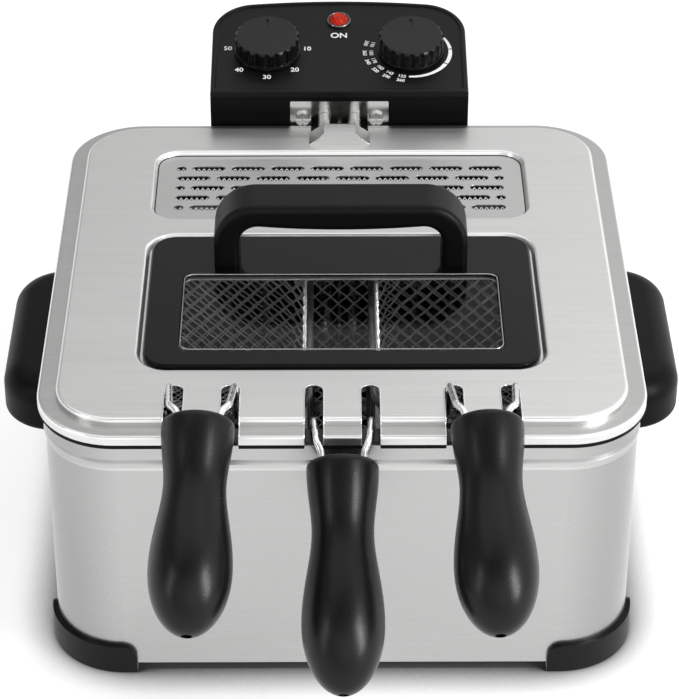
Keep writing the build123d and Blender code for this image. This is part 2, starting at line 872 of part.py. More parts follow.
def draw_wire_slots():
    """Draw the six slots that let the basket handles' wires through the front edge."""
    for pair_x in (-small_x, 0, small_x):
        for side in (-1, 1):
            with Locations((pair_x + side * wire_slot_pitch / 2, lid_front)):
                SlotOverall(2 * wire_slot_reach, wire_slot_width, rotation=90)


def draw_tunnel(width, rise, base):
    """Draw the cross-section of the tunnel over the heater tubes."""
    with Locations((0, (base + lid_top) / 2)):
        Rectangle(width, lid_top - base)
    with Locations((0, lid_top + rise / 2)):
        Trapezoid(width, rise, tunnel_side_angle)


def on_lid(z, width, depth, y):
    """Give a test for edges at height z within a rectangle of the lid."""

    def test(edge):
        middle = edge.center()
        box = edge.bounding_box()
        off_level = max(abs(box.min.Z - z), abs(box.max.Z - z))
        beside = max(abs(middle.X) - width / 2, abs(middle.Y - housing_y - y) - depth / 2)
        return off_level < fit / 2 and beside < fit

    return test


with BuildPart() as lid_panel:
    with BuildSketch(level(lid_bottom)):
        RectangleRounded(lid_width, lid_depth, lid_corner)
    extrude(amount=lid_skirt)
    fillet(lid_panel.edges().group_by(Axis.Z)[-1], lid_roll)
    with BuildSketch(level(lid_ledge_top - lid_sheet)):
        RectangleRounded(lid_width - 2 * lid_ledge, lid_depth - 2 * lid_ledge, lid_corner - lid_ledge)
    extrude(amount=lid_step + lid_sheet)
    fillet(lid_panel.edges().group_by(Axis.Z)[-1], lid_shoulder)
    with BuildSketch(upright(tunnel_rear)):
        draw_tunnel(tunnel_width, tunnel_rise, lid_bottom)
    extrude(amount=tunnel_length - tunnel_notch)
    nose = lid_panel.edges().filter_by(Axis.X).group_by(Axis.Z)[-1].sort_by(Axis.Y)[0]
    chamfer(nose, tunnel_nose)
    with BuildSketch(level(lid_bottom)):
        RectangleRounded(lid_width - 2 * lid_sheet, lid_depth - 2 * lid_sheet, lid_corner - lid_sheet)
    extrude(amount=lid_skirt - lid_sheet, mode=Mode.SUBTRACT)
    with BuildSketch(level(lid_bottom)):
        RectangleRounded(
            lid_width - 2 * panel_inset, lid_depth - 2 * panel_inset, lid_corner - panel_inset
        )
    extrude(amount=lid_top - lid_sheet - lid_bottom, mode=Mode.SUBTRACT)
    with BuildSketch(upright(tunnel_rear)):
        draw_tunnel(tunnel_width - 2 * lid_sheet, tunnel_rise - lid_sheet, lid_bottom)
    extrude(amount=tunnel_length - tunnel_notch - tunnel_nose, mode=Mode.SUBTRACT)
    with BuildSketch(level(lid_bottom)):
        with Locations((0, lid_depth / 2)):
            Rectangle(tunnel_width - 2 * lid_sheet, 2 * tunnel_notch)
    extrude(amount=lid_top + tunnel_rise - lid_bottom, mode=Mode.SUBTRACT)
    with BuildSketch(level(lid_top - lid_sheet, y=window_y)):
        RectangleRounded(
            window_width + 2 * bed_margin + 2 * lid_sheet,
            window_depth + 2 * bed_margin + 2 * lid_sheet,
            window_corner + bed_margin + lid_sheet,
        )
    extrude(amount=-bed_depth)
    with BuildSketch(level(lid_top - lid_sheet, y=vent_y)):
        RectangleRounded(vent_width + 2 * lid_sheet, vent_depth + 2 * lid_sheet, vent_corner + lid_sheet)
    extrude(amount=-vent_sink)
    with BuildSketch(level(lid_top, y=window_y)):
        RectangleRounded(
            window_width + 2 * bed_margin, window_depth + 2 * bed_margin, window_corner + bed_margin
        )
    extrude(amount=-bed_depth, taper=bed_draft, mode=Mode.SUBTRACT)
    with BuildSketch(level(lid_top, y=vent_y)):
        RectangleRounded(vent_width, vent_depth, vent_corner)
    extrude(amount=-vent_sink, taper=bed_draft, mode=Mode.SUBTRACT)
    bed_edges = lid_panel.edges().filter_by(
        on_lid(lid_top, window_width + 2 * bed_margin, window_depth + 2 * bed_margin, window_y)
    )
    vent_edges = lid_panel.edges().filter_by(on_lid(lid_top, vent_width, vent_depth, vent_y))
    fillet(bed_edges + vent_edges, bed_round)
    with BuildSketch(level(lid_bottom, y=view_y)):
        RectangleRounded(view_width, view_depth, view_corner)
    extrude(amount=lid_top - lid_bottom, mode=Mode.SUBTRACT)
    with BuildSketch(level(lid_bottom, y=vent_y)):
        for row in range(vent_row_count):
            row_y = (row - (vent_row_count - 1) / 2) * vent_row_pitch
            shift = vent_row_shift * (-1) ** row
            row_end = (vent_slot_count - 1) / 2 * vent_slot_pitch + vent_slot_length / 2 + vent_hole_gap
            with Locations((shift, row_y)):
                with GridLocations(vent_slot_pitch, vent_row_pitch, vent_slot_count, 1):
                    SlotOverall(vent_slot_length, vent_slot_width)
            with Locations((shift - (-1) ** row * row_end, row_y)):
                Circle(vent_hole_radius)
    extrude(amount=lid_top - lid_bottom, mode=Mode.SUBTRACT)
    with BuildSketch(level(lid_bottom)):
        draw_wire_slots()
    extrude(amount=lid_top - lid_bottom, mode=Mode.SUBTRACT)
    with BuildSketch(level(lid_bottom, y=arch_y)):
        with GridLocations(arch_width - arch_post, arch_depth, 2, 1):
            Circle(screw_hole)
    extrude(amount=lid_top - lid_bottom, mode=Mode.SUBTRACT)
write(lid_panel, "lid_panel")

# Seal under the ledge, with a lip that fills the gap below the skirt, notched where wires and tubes pass
seal_outer = lid_overhang + seal_inset
seal_inner = seal_outer + seal_width
seal_lip_bottom = housing_top + seat


def draw_lid_ring(outer, inner):
    """Draw a ring between two insets from the lid's outline."""
    RectangleRounded(lid_width - 2 * outer, lid_depth - 2 * outer, lid_corner - outer)
    RectangleRounded(lid_width - 2 * inner, lid_depth - 2 * inner, lid_corner - inner, mode=Mode.SUBTRACT)


with BuildPart() as lid_seal:
    with BuildSketch(level(pot_top)):
        draw_lid_ring(seal_outer, seal_inner)
    extrude(amount=lid_ledge_top - lid_sheet - pot_top)
    with BuildSketch(level(pot_top)):
        draw_lid_ring(seal_lip_inset, seal_inner)
    extrude(amount=lid_bottom - fit - pot_top)
    with BuildSketch(level(seal_lip_bottom)):
        draw_lid_ring(seal_lip_inset, lid_overhang + pot_flange_inset - seat)
    extrude(amount=pot_top - seal_lip_bottom)
    with BuildSketch(level(seal_lip_bottom)):
        draw_wire_slots()
        with Locations((0, lid_depth / 2)):
            Rectangle(tunnel_width, 2 * tunnel_length)
    extrude(amount=lid_ledge_top - seal_lip_bottom, mode=Mode.SUBTRACT)
write(lid_seal, "lid_seal")

# Window: a black frame set in the lid's bed, clamping the glass
view_shift = view_y - window_y

with BuildPart() as window_frame:
    with BuildSketch(level(bed_floor, y=window_y)):
        RectangleRounded(window_width, window_depth, window_corner)
        with Locations((0, view_shift)):
            RectangleRounded(view_width, view_depth, view_corner, mode=Mode.SUBTRACT)
    extrude(amount=window_rise)
    chamfer(window_frame.edges().group_by(Axis.Z)[-1], window_edge)
    with BuildSketch(level(bed_floor, y=view_y)):
        RectangleRounded(
            view_width + 2 * glass_lap + 2 * fit, view_depth + 2 * glass_lap + 2 * fit, view_corner
        )
    extrude(amount=glass_sheet + fit, mode=Mode.SUBTRACT)
    with BuildSketch(level(bed_floor, y=arch_y)):
        with GridLocations(arch_width - arch_post, arch_depth, 2, 1):
            Circle(screw_hole)
    extrude(amount=window_rise, mode=Mode.SUBTRACT)
write(window_frame, "window_frame")

with BuildPart() as window_glass:
    with BuildSketch(level(bed_floor, y=view_y)):
        RectangleRounded(view_width + 2 * glass_lap, view_depth + 2 * glass_lap, view_corner)
    extrude(amount=glass_sheet)
write(window_glass, "window_glass")

# Lid handle: a moulded arch with a bowed finger bar
arch_top = window_top + arch_height
arch_inner = arch_width - 2 * arch_post
arch_under = arch_top - arch_bar

with BuildPart() as lid_handle:
    with BuildSketch(upright(arch_y)):
        with Locations((0, (arch_top + window_top) / 2)):
            Rectangle(arch_width, arch_height)
        fillet(vertices().group_by(Axis.Y)[-1], arch_corner)
    extrude(amount=arch_depth / 2, both=True)
    with BuildSketch(upright(arch_y)):
        with BuildLine():
            foot_line = Line((arch_inner / 2, window_top), (-arch_inner / 2, window_top))
            left_post = Line(foot_line @ 1, (-arch_inner / 2, arch_under))
            bar = ThreePointArc(left_post @ 1, (0, arch_under - arch_bow), (arch_inner / 2, arch_under))
            Line(bar @ 1, foot_line @ 0)
        make_face()
        fillet(vertices().group_by(Axis.Y)[-1], arch_inner_corner)
    extrude(amount=arch_depth, both=True, mode=Mode.SUBTRACT)
    rounded = lid_handle.edges().filter_by(
        lambda edge: edge.bounding_box().max.Z > window_top + fit
        and edge.bounding_box().size.Y < fit
    )
    fillet(rounded, arch_edge)
    with BuildSketch(level(window_top, y=arch_y)):
        with GridLocations(arch_width - arch_post, arch_depth, 2, 1):
            Circle(screw_hole)
    extrude(amount=screw_grip, mode=Mode.SUBTRACT)
write(lid_handle, "lid_handle")

with BuildPart() as lid_handle_screws:
    with BuildSketch(level(bed_floor - lid_sheet, y=arch_y)):
        with GridLocations(arch_width - arch_post, arch_depth, 2, 1):
            Circle(screw_head_radius)
    extrude(amount=-screw_head_height)
    with BuildSketch(level(bed_floor - lid_sheet, y=arch_y)):
        with GridLocations(arch_width - arch_post, arch_depth, 2, 1):
            Circle(screw_radius)
    extrude(amount=lid_sheet + window_rise + screw_grip - fit)
write(lid_handle_screws, "lid_handle_screws")

# Filter below the vent, in a tray with an open floor
filter_top = vent_floor - lid_sheet
filter_width = vent_width - 2 * filter_margin
filter_depth = vent_depth - 2 * filter_margin
tray_width = filter_width + 2 * tray_sheet + 2 * fit
tray_depth = filter_depth + 2 * tray_sheet + 2 * fit

with BuildPart() as filter_mesh:
    with BuildSketch(level(filter_top - fit, y=vent_y)):
        RectangleRounded(filter_width, filter_depth, vent_corner / 2)
    extrude(amount=-filter_sheet)
write(filter_mesh, "filter_mesh")

with BuildPart() as filter_tray:
    with BuildSketch(level(filter_top, y=vent_y)):
        RectangleRounded(tray_width, tray_depth, vent_corner / 2 + tray_sheet)
    extrude(amount=-filter_sheet - 2 * fit - tray_sheet)
    with BuildSketch(level(filter_top, y=vent_y)):
        RectangleRounded(filter_width + 2 * fit, filter_depth + 2 * fit, vent_corner / 2)
    extrude(amount=-filter_sheet - 2 * fit, mode=Mode.SUBTRACT)
    with BuildSketch(level(filter_top, y=vent_y)):
        RectangleRounded(
            filter_width - 2 * tray_lip, filter_depth - 2 * tray_lip, vent_corner / 2
        )
        Rectangle(tray_bar, filter_depth, mode=Mode.SUBTRACT)
    extrude(amount=-2 * filter_sheet - tray_sheet, mode=Mode.SUBTRACT)
write(filter_tray, "filter_tray")


# Baskets
def cells_along(length):
    """Count the mesh cells that fit along a panel."""
    return max(1, int((length - 2 * mesh_edge) // mesh_cell))


def draw_mesh(width, height):
    """Draw a flat panel of diamond mesh, centred where it stands."""
    columns = cells_along(width)
    rows = cells_along(height)
    column_pitch = (width - 2 * mesh_edge) / columns
    row_pitch = (height - 2 * mesh_edge) / rows
    Rectangle(width, height)
    with GridLocations(column_pitch, row_pitch, columns, rows):
        Polygon(
            (column_pitch / 2 - mesh_strand / 2, 0),
            (0, row_pitch / 2 - mesh_strand / 2),
            (mesh_strand / 2 - column_pitch / 2, 0),
            (0, mesh_strand / 2 - row_pitch / 2),
            mode=Mode.SUBTRACT,
        )


def make_basket(name, x, front, width, depth, base, rim):
    """Build one basket's wire frame, mesh walls and handle sockets."""
    middle = front + depth / 2
    wire_width = width - 2 * basket_wire
    wire_depth = depth - 2 * basket_wire
    base_z = base + basket_wire
    with BuildPart() as frame:
        for wire_z in (base_z, rim):
            with BuildLine(level(wire_z, x, middle)) as loop:
                FilletPolyline(
                    (-wire_width / 2, -wire_depth / 2),
                    (wire_width / 2, -wire_depth / 2),
                    (wire_width / 2, wire_depth / 2),
                    (-wire_width / 2, wire_depth / 2),
                    radius=basket_round,
                    close=True,
                )
            with BuildSketch(Plane(loop.line @ 0, z_dir=loop.line % 0)):
                Circle(basket_wire)
            sweep(path=loop.line)
        with BuildSketch(level(base_z, x, middle)):
            with GridLocations(wire_width, wire_depth / 2, 2, 2):
                Circle(basket_rod)
            with GridLocations(wire_width / 2, wire_depth, 2, 2):
                Circle(basket_rod)
        extrude(amount=rim - base_z)
        with BuildSketch(upright(middle)):
            with Locations((x, base_z)):
                with GridLocations(wire_width / runner_count, basket_wire, runner_count, 1):
                    Circle(basket_rod)
        extrude(amount=wire_depth / 2, both=True)
    write(frame, f"{name}_frame")

    mesh_width = wire_width - 2 * basket_wire - 2 * fit
    mesh_depth = wire_depth - 2 * basket_wire - 2 * fit
    mesh_round = basket_round - basket_wire - fit
    floor_z = base_z + basket_wire + fit
    wall_z = floor_z + mesh_sheet + fit
    wall_height = rim - wall_z
    flat_width = mesh_width - 2 * mesh_round - 2 * fit
    flat_depth = mesh_depth - 2 * mesh_round - 2 * fit
    with BuildPart() as mesh:
        with BuildSketch(level(floor_z, x, middle)):
            draw_mesh(mesh_width, mesh_depth)
            RectangleRounded(mesh_width, mesh_depth, mesh_round, mode=Mode.INTERSECT)
        extrude(amount=mesh_sheet)
        for side in (-1, 1):
            face_y = middle + side * (mesh_depth - mesh_sheet) / 2
            with BuildSketch(upright(face_y)):
                with Locations((x, wall_z + wall_height / 2)):
                    draw_mesh(flat_width, wall_height)
            extrude(amount=mesh_sheet / 2, both=True)
            face_x = x + side * (mesh_width - mesh_sheet) / 2
            with BuildSketch(sideways(face_x)):
                with Locations((middle, wall_z + wall_height / 2)):
                    draw_mesh(flat_depth, wall_height)
            extrude(amount=mesh_sheet / 2, both=True)
        with BuildSketch(level(wall_z, x, middle)):
            RectangleRounded(mesh_width, mesh_depth, mesh_round)
            RectangleRounded(
                mesh_width - 2 * mesh_sheet,
                mesh_depth - 2 * mesh_sheet,
                mesh_round - mesh_sheet,
                mode=Mode.SUBTRACT,
            )
            Rectangle(flat_width + 2 * fit, mesh_depth, mode=Mode.SUBTRACT)
            Rectangle(mesh_width, flat_depth + 2 * fit, mode=Mode.SUBTRACT)
        extrude(amount=wall_height)
    write(mesh, f"{name}_mesh")


def make_sockets(name, x, front, rim, spread):
    """Build the two sockets on a basket's front that take its fork's ends."""
    socket_y = front - fit - socket_radius
    with BuildPart() as sockets:
        with BuildSketch(level(rim + socket_above_rim, x, socket_y)):
            with Locations((-spread, 0), (spread, 0)):
                Circle(socket_radius)
        extrude(amount=-socket_length)
        with BuildSketch(level(rim + socket_above_rim, x, socket_y)):
            with Locations((0, socket_radius - socket_plate / 2)):
                Rectangle(2 * spread, socket_plate)
        extrude(amount=-socket_plate_height)
        with BuildSketch(level(rim + socket_above_rim, x, socket_y)):
            with Locations((-spread, 0), (spread, 0)):
                Circle(fork_radius + fit)
        extrude(amount=-socket_length + socket_wall, mode=Mode.SUBTRACT)
    write(sockets, f"{name}_sockets")
    return socket_y


def grip_plane(x, lean, grip_y, grip_z, slope):
    """Plane across a grip's end, square to its axis, which slopes down and leans sideways."""
    run_y = -cos(radians(slope))
    run_z = -sin(radians(slope))
    return Plane(
        (x, housing_y + grip_y, grip_z),
        x_dir=(1, lean, 0),
        z_dir=(-lean * run_y, run_y, run_z),
    )


def make_fork(name, x, socket_y, rim, spread, top, pass_x, pass_z, cap_plane):
    """Build one fork: two bent wires from the sockets, through the lid's slots, into the grip."""
    fork_foot = rim + socket_above_rim - socket_length + socket_wall + seat
    fork_end = fork_in_grip - seat
    socket_spot = housing_y + socket_y
    with BuildPart() as fork:
        for side in (-1, 1):
            with BuildLine() as bend:
                FilletPolyline(
                    (x + side * spread, socket_spot, fork_foot),
                    (x + side * spread, socket_spot, top),
                    (x + side * pass_x, housing_y + fork_pass_y, pass_z),
                    cap_plane.from_local_coords((side * fork_close, 0, -fork_lead)),
                    cap_plane.from_local_coords((side * fork_close, 0, fork_end)),
                    radius=[fork_bend, fork_ease, fork_ease],
                )
            with BuildSketch(Plane(bend.line @ 0, z_dir=bend.line % 0)):
                Circle(fork_radius)
            sweep(path=bend.line)
    write(fork, f"{name}_fork")


def make_grip(name, cap_plane, length):
    """Build one moulded grip, turned about its sloping axis."""
    bulge_at = grip_bulge_at * length
    side_plane = Plane(
        cap_plane.origin, x_dir=cap_plane.x_dir, z_dir=cap_plane.x_dir.cross(cap_plane.z_dir)
    )
    with BuildPart() as grip:
        with BuildSketch(side_plane):
            with BuildLine():
                face = Line((0, 0), (grip_cap - grip_cap_round, 0))
                corner = RadiusArc(face @ 1, (grip_cap, grip_cap_round), -grip_cap_round)
                flank = Spline(
                    corner @ 1,
                    (grip_neck, grip_neck_at * length),
                    (grip_bulge, bulge_at),
                    tangents=((0, 1), (0, 1)),
                )
                nose = Bezier(
                    flank @ 1,
                    (grip_bulge, bulge_at + ellipse_pull * (length - bulge_at)),
                    (ellipse_pull * grip_bulge, length),
                    (0, length),
                )
                Line(nose @ 1, face @ 0)
            make_face()
        revolve(axis=Axis(cap_plane.origin, cap_plane.z_dir))
        with BuildSketch(cap_plane):
            with Locations((-fork_close, 0), (fork_close, 0)):
                Circle(fork_radius + fit)
        extrude(amount=fork_in_grip, mode=Mode.SUBTRACT)
        with BuildSketch(cap_plane.offset(length)):
            Circle(grip_eye_radius)
        extrude(amount=-grip_eye_depth, mode=Mode.SUBTRACT)
    write(grip, f"{name}_grip")


make_basket("large_basket", 0, large_front, large_width, large_depth, large_base, large_rim)
large_socket_y = make_sockets("large_basket", 0, large_front, large_rim, large_fork_spread)
large_cap_plane = grip_plane(0, 0, large_grip_y, large_grip_z, large_grip_slope)
make_fork(
    "large_basket",
    0,
    large_socket_y,
    large_rim,
    large_fork_spread,
    large_fork_top,
    large_fork_pass,
    large_fork_pass_z,
    large_cap_plane,
)
make_grip("large_basket", large_cap_plane, large_grip_length)

small_base = large_base + 2 * basket_wire + fit + mesh_sheet + seat
small_lean = tan(radians(small_grip_splay))

for name, side in (("small_basket_left", -1), ("small_basket_right", 1)):
    x = side * small_x
    make_basket(name, x, small_front, small_width, small_depth, small_base, small_rim)
    small_socket_y = make_sockets(name, x, small_front, small_rim, small_fork_spread)
    cap_plane = grip_plane(x, side * small_lean, small_grip_y, small_grip_z, small_grip_slope)
    make_fork(
        name,
        x,
        small_socket_y,
        small_rim,
        small_fork_spread,
        small_fork_top,
        small_fork_pass,
        small_fork_pass_z,
        cap_plane,
    )
    make_grip(name, cap_plane, small_grip_length)
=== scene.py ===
from math import ceil, cos, hypot, pi, radians, sin

import bpy
from mathutils import Matrix, Vector


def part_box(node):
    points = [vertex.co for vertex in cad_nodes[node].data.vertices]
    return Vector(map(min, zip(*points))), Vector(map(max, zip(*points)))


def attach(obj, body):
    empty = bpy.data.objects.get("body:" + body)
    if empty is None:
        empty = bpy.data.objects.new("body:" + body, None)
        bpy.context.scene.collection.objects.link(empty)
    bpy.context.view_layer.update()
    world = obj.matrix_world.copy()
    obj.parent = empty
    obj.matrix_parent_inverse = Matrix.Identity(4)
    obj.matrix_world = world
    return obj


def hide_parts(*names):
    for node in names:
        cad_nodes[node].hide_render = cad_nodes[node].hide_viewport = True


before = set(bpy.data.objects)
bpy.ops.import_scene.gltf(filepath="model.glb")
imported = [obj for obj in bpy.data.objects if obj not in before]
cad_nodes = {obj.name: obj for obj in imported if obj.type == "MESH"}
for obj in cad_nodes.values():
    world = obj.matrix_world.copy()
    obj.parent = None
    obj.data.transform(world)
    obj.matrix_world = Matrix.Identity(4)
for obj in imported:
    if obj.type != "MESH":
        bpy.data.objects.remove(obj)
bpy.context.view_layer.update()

# In the frame of the solids: X to the right, Y to the back, Z up. Metres and degrees throughout,
# apart from the camera's lens and sensor, which are in millimetres.

# Solids that the scene's own pieces are placed from
lid_low, lid_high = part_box("lid_panel")
filter_low, filter_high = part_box("filter_mesh")
glass_low, glass_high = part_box("window_glass")
FRAME_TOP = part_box("window_frame")[1].z
PANEL_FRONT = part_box("control_panel")[0].y
BASKETS = ("large_basket", "small_basket_left", "small_basket_right")

# Camera, fitted to the photograph and placed from the lid's middle
LID_MIDDLE = (lid_low.y + lid_high.y) / 2
CAMERA_PLACE = Vector((-0.006576, LID_MIDDLE - 1.131467, 0.845280))
CAMERA_AIM = Vector((-0.0006, LID_MIDDLE, 0.0869))
CAMERA_ROLL = 0.04
CAMERA_LENS = 144.45
CAMERA_SENSOR = 36.0
CAMERA_NEAR = 0.05

# Lid: the sunk vent field, darkened as painted shade, and bands of the pressed sheet from its lower
# edge up, each with the share of the steel's colour that it shows: painted highlights on the rounded
# edges and painted shade on the ledge
VENT_WIDTH = 0.185
VENT_DEPTH = 0.066
VENT_CORNER = 0.012
VENT_WALL = 0.00137
VENT_MIDDLE = (filter_low.y + filter_high.y) / 2
VENT_GAP = 0.0009
VENT_FLOOR = filter_high.z + VENT_GAP
VENT_BAND = 0.001
VENT_SHADE = 0.8
LID_LIGHT_BANDS = ((0.0, 0.78), (0.0032, 1.0), (0.0044, 0.56), (0.00465, 0.78), (0.0061, 1.0), (0.0079, 0.78))
LID_RISE = 0.008

# Housing: its wall, with a painted highlight on the bead between two heights, and painted shade on its
# corners
BODY_LIGHT_BANDS = ((0.0, 0.78), (0.1132, 1.0), (0.1176, 0.78))
BODY_RISE = 0.127
CORNER_SHADE = 0.78

# Noise: the part of its range that is used, and its make-up
NOISE_RANGE = (0.3, 0.7)
NOISE_DETAIL = 3.0
NOISE_ROUGHNESS = 0.6


# Materials
def grey(level):
    """A colour with equal parts of red, green and blue."""
    return (level, level, level)


class Shading:
    """A tree of shader nodes and short ways to add to it."""

    def __init__(self, tree):
        self.nodes = tree.nodes
        self.links = tree.links

    def feed(self, socket, value):
        """Link a socket to the output of a node, or set it to a plain value."""
        if isinstance(value, bpy.types.NodeSocket):
            self.links.new(value, socket)
        else:
            socket.default_value = value

    def place(self, kind="Object"):
        """The coordinates of the point that is shaded."""
        return self.nodes.new("ShaderNodeTexCoord").outputs[kind]

    def axes(self, vector):
        """The X, Y and Z of a vector."""
        parts = self.nodes.new("ShaderNodeSeparateXYZ")
        self.links.new(vector, parts.inputs["Vector"])
        return parts.outputs

    def reckon(self, operation, *values, kind="ShaderNodeMath"):
        """One step of arithmetic on numbers and outputs of nodes."""
        step = self.nodes.new(kind)
        step.operation = operation
        for socket, value in zip(step.inputs, values):
            self.feed(socket, value)
        return step.outputs[0]

    def remap(self, value, given, wanted=(0.0, 1.0)):
        """Map one range of values onto another."""
        ranged = self.nodes.new("ShaderNodeMapRange")
        ranged.inputs["From Min"].default_value = given[0]
        ranged.inputs["From Max"].default_value = given[1]
        ranged.inputs["To Min"].default_value = wanted[0]
        ranged.inputs["To Max"].default_value = wanted[1]
        self.links.new(value, ranged.inputs["Value"])
        return ranged.outputs["Result"]

    def ramp(self, value, stops, blend="LINEAR"):
        """Turn a value into a colour, between stops of position and colour."""
        ramp = self.nodes.new("ShaderNodeValToRGB")
        ramp.color_ramp.interpolation = blend
        elements = ramp.color_ramp.elements
        elements.remove(elements[1])
        position, colour = stops[0]
        elements[0].position = position
        elements[0].color = (*colour, 1)
        for position, colour in stops[1:]:
            elements.new(position).color = (*colour, 1)
        self.links.new(value, ramp.inputs["Fac"])
        return ramp.outputs["Color"]

    def seen_rays(self):
        """One for rays that the camera sends, straight or by way of metal and glass."""
        path = self.nodes.new("ShaderNodeLightPath").outputs
        straight = self.reckon("MAXIMUM", path["Is Camera Ray"], path["Is Glossy Ray"])
        return self.reckon("MAXIMUM", straight, path["Is Transmission Ray"])

    def show(self, first, second, factor, output):
        """Show the first shader, and the second as far as the factor goes."""
        mix = self.nodes.new("ShaderNodeMixShader")
        self.links.new(factor, mix.inputs["Fac"])
        self.links.new(first, mix.inputs[1])
        self.links.new(second, mix.inputs[2])
        self.links.new(mix.outputs["Shader"], self.nodes[output].inputs["Surface"])


class Paint(Shading):
    """One procedural material and the nodes that its detail is hung on."""

    def __init__(self, name, colour, roughness, metallic=0.0, **sockets):
        self.material = bpy.data.materials.new(name)
        self.material.use_nodes = True
        self.material.diffuse_color = (*colour, 1)
        super().__init__(self.material.node_tree)
        self.shader = self.nodes["Principled BSDF"]
        self.colour = colour
        self.set("Base Color", (*colour, 1))
        self.set("Roughness", roughness)
        self.set("Metallic", metallic)
        for socket, value in sockets.items():
            self.set(socket.replace("_", " "), value)

    def set(self, socket, value):
        """Set or link one of the shader's own sockets."""
        self.feed(self.shader.inputs[socket], value)

    def noise(self, stretch, detail=NOISE_DETAIL):
        """Noise in the piece's own coordinates, with so many features to the metre each way."""
        mapping = self.nodes.new("ShaderNodeMapping")
        mapping.inputs["Scale"].default_value = stretch
        texture = self.nodes.new("ShaderNodeTexNoise")
        texture.inputs["Scale"].default_value = 1.0
        texture.inputs["Detail"].default_value = detail
        texture.inputs["Roughness"].default_value = NOISE_ROUGHNESS
        self.links.new(self.place(), mapping.inputs["Vector"])
        self.links.new(mapping.outputs["Vector"], texture.inputs["Vector"])
        return texture.outputs["Fac"]

    def vary_roughness(self, noise, low, high):
        """Spread the roughness over a range with the noise."""
        self.set("Roughness", self.remap(noise, NOISE_RANGE, (low, high)))

    def vary_colour(self, noise, low, high):
        """Darken and lighten the colour with the noise, between two shares of itself."""
        darker = [part * low for part in self.colour]
        lighter = [part * high for part in self.colour]
        self.set("Base Color", self.ramp(noise, tuple(zip(NOISE_RANGE, (darker, lighter)))))

    def multiply(self, factor, tint):
        """Multiply the colour by a tint, as far as the factor goes."""
        mix = self.nodes.new("ShaderNodeMix")
        mix.data_type = "RGBA"
        mix.blend_type = "MULTIPLY"
        self.feed(mix.inputs["B"], tint)
        self.feed(mix.inputs["Factor"], factor)
        self.feed(mix.inputs["A"], self.shader.inputs["Base Color"].links[0].from_socket)
        self.set("Base Color", mix.outputs["Result"])

    def dull_box(self, centre, half, share):
        """Paint shade: darken the colour to a share of itself inside a box."""
        vectors = "ShaderNodeVectorMath"
        offset = self.reckon("SUBTRACT", self.place(), centre, kind=vectors)
        scaled = self.reckon("DIVIDE", offset, half, kind=vectors)
        away = self.axes(self.reckon("ABSOLUTE", scaled, kind=vectors))
        flat = self.reckon("MAXIMUM", away["X"], away["Y"])
        furthest = self.reckon("MAXIMUM", flat, away["Z"])
        self.multiply(self.reckon("LESS_THAN", furthest, 1.0), (*grey(share), 1))

    def dull_corners(self, share):
        """Paint shade: darken the colour to a share of itself where an upright wall turns a corner."""
        normal = self.axes(self.nodes.new("ShaderNodeNewGeometry").outputs["Normal"])
        turned = self.reckon("MULTIPLY", normal["X"], normal["Y"])
        doubled = self.reckon("MULTIPLY", turned, 2.0)
        self.multiply(self.reckon("ABSOLUTE", doubled), (*grey(share), 1))

    def tint_bands(self, low, rise, bands):
        """Paint light and shade in bands: multiply the colour by the share of each band, which starts
        so far above the low end.
        """
        height = self.remap(self.axes(self.place())["Z"], (low, low + rise))
        stops = [(start / rise, grey(share)) for start, share in bands]
        self.multiply(1.0, self.ramp(height, stops, "CONSTANT"))

    def emboss(self, noise, depth, edge=0.0):
        """Raise the surface with the noise, and round off its edges, by so many metres."""
        bump = self.nodes.new("ShaderNodeBump")
        bump.inputs["Strength"].default_value = 1.0
        bump.inputs["Distance"].default_value = depth
        self.links.new(noise, bump.inputs["Height"])
        self.set("Normal", bump.outputs["Normal"])
        if edge:
            rounding = self.nodes.new("ShaderNodeBevel")
            rounding.samples = EDGE_SAMPLES
            rounding.inputs["Radius"].default_value = edge
            self.links.new(rounding.outputs["Normal"], bump.inputs["Normal"])


# Detail of each kind of material: features to the metre, and shares of its own roughness (gloss)
# and of its own colour (tone). A steel's roughness swings STEEL_GLOSS times as far as its colour.
BLACK = grey(0.002)
EDGE_SAMPLES = 4
STEEL_EDGE = 0.0004
STEEL_GLOSS = 3
METAL_MARKS = (260, 260, 260)
METAL_GLOSS = (0.75, 1.35)
METAL_TONE = (0.92, 1.05)
PLASTIC_CLOUDS = (40, 40, 40)
PLASTIC_GLOSS = (0.85, 1.2)
PLASTIC_TONE = (0.85, 1.15)
PLASTIC_DETAIL = 2.0
GLASS_SMEARS = (30, 30, 30)
GLASS_ROUGHNESS = (0.0, 0.004)


def brushed_steel(name, colour, roughness, stretch, contrast=0.05, depth=0.00001):
    """Steel with a fine grain that runs where the noise is stretched."""
    paint = Paint(name, colour, roughness, metallic=1.0)
    grain = paint.noise(stretch)
    spread = STEEL_GLOSS * contrast
    paint.vary_roughness(grain, roughness * (1 - spread), roughness * (1 + spread))
    paint.vary_colour(grain, 1 - contrast, 1 + contrast)
    paint.emboss(grain, depth, STEEL_EDGE)
    return paint


def plain_metal(name, colour, roughness):
    """Metal with faint handling marks."""
    paint = Paint(name, colour, roughness, metallic=1.0)
    marks = paint.noise(METAL_MARKS)
    paint.vary_roughness(marks, *(roughness * share for share in METAL_GLOSS))
    paint.vary_colour(marks, *METAL_TONE)
    return paint.material


def moulded_plastic(name, colour, roughness, texture=1800, depth=0.00002, edge=0.0, **sockets):
    """Plastic with the fine grain of its mould and soft edges."""
    paint = Paint(name, colour, roughness, **sockets)
    grain = paint.noise((texture, texture, texture), PLASTIC_DETAIL)
    paint.vary_roughness(grain, *(roughness * share for share in PLASTIC_GLOSS))
    paint.vary_colour(paint.noise(PLASTIC_CLOUDS), *PLASTIC_TONE)
    paint.emboss(grain, depth, edge)
    return paint.material


def black_plastic(name, roughness, sheen, **detail):
    """Black plastic with a specular level of its own."""
    return moulded_plastic(name, BLACK, roughness, Specular_IOR_Level=sheen, **detail)


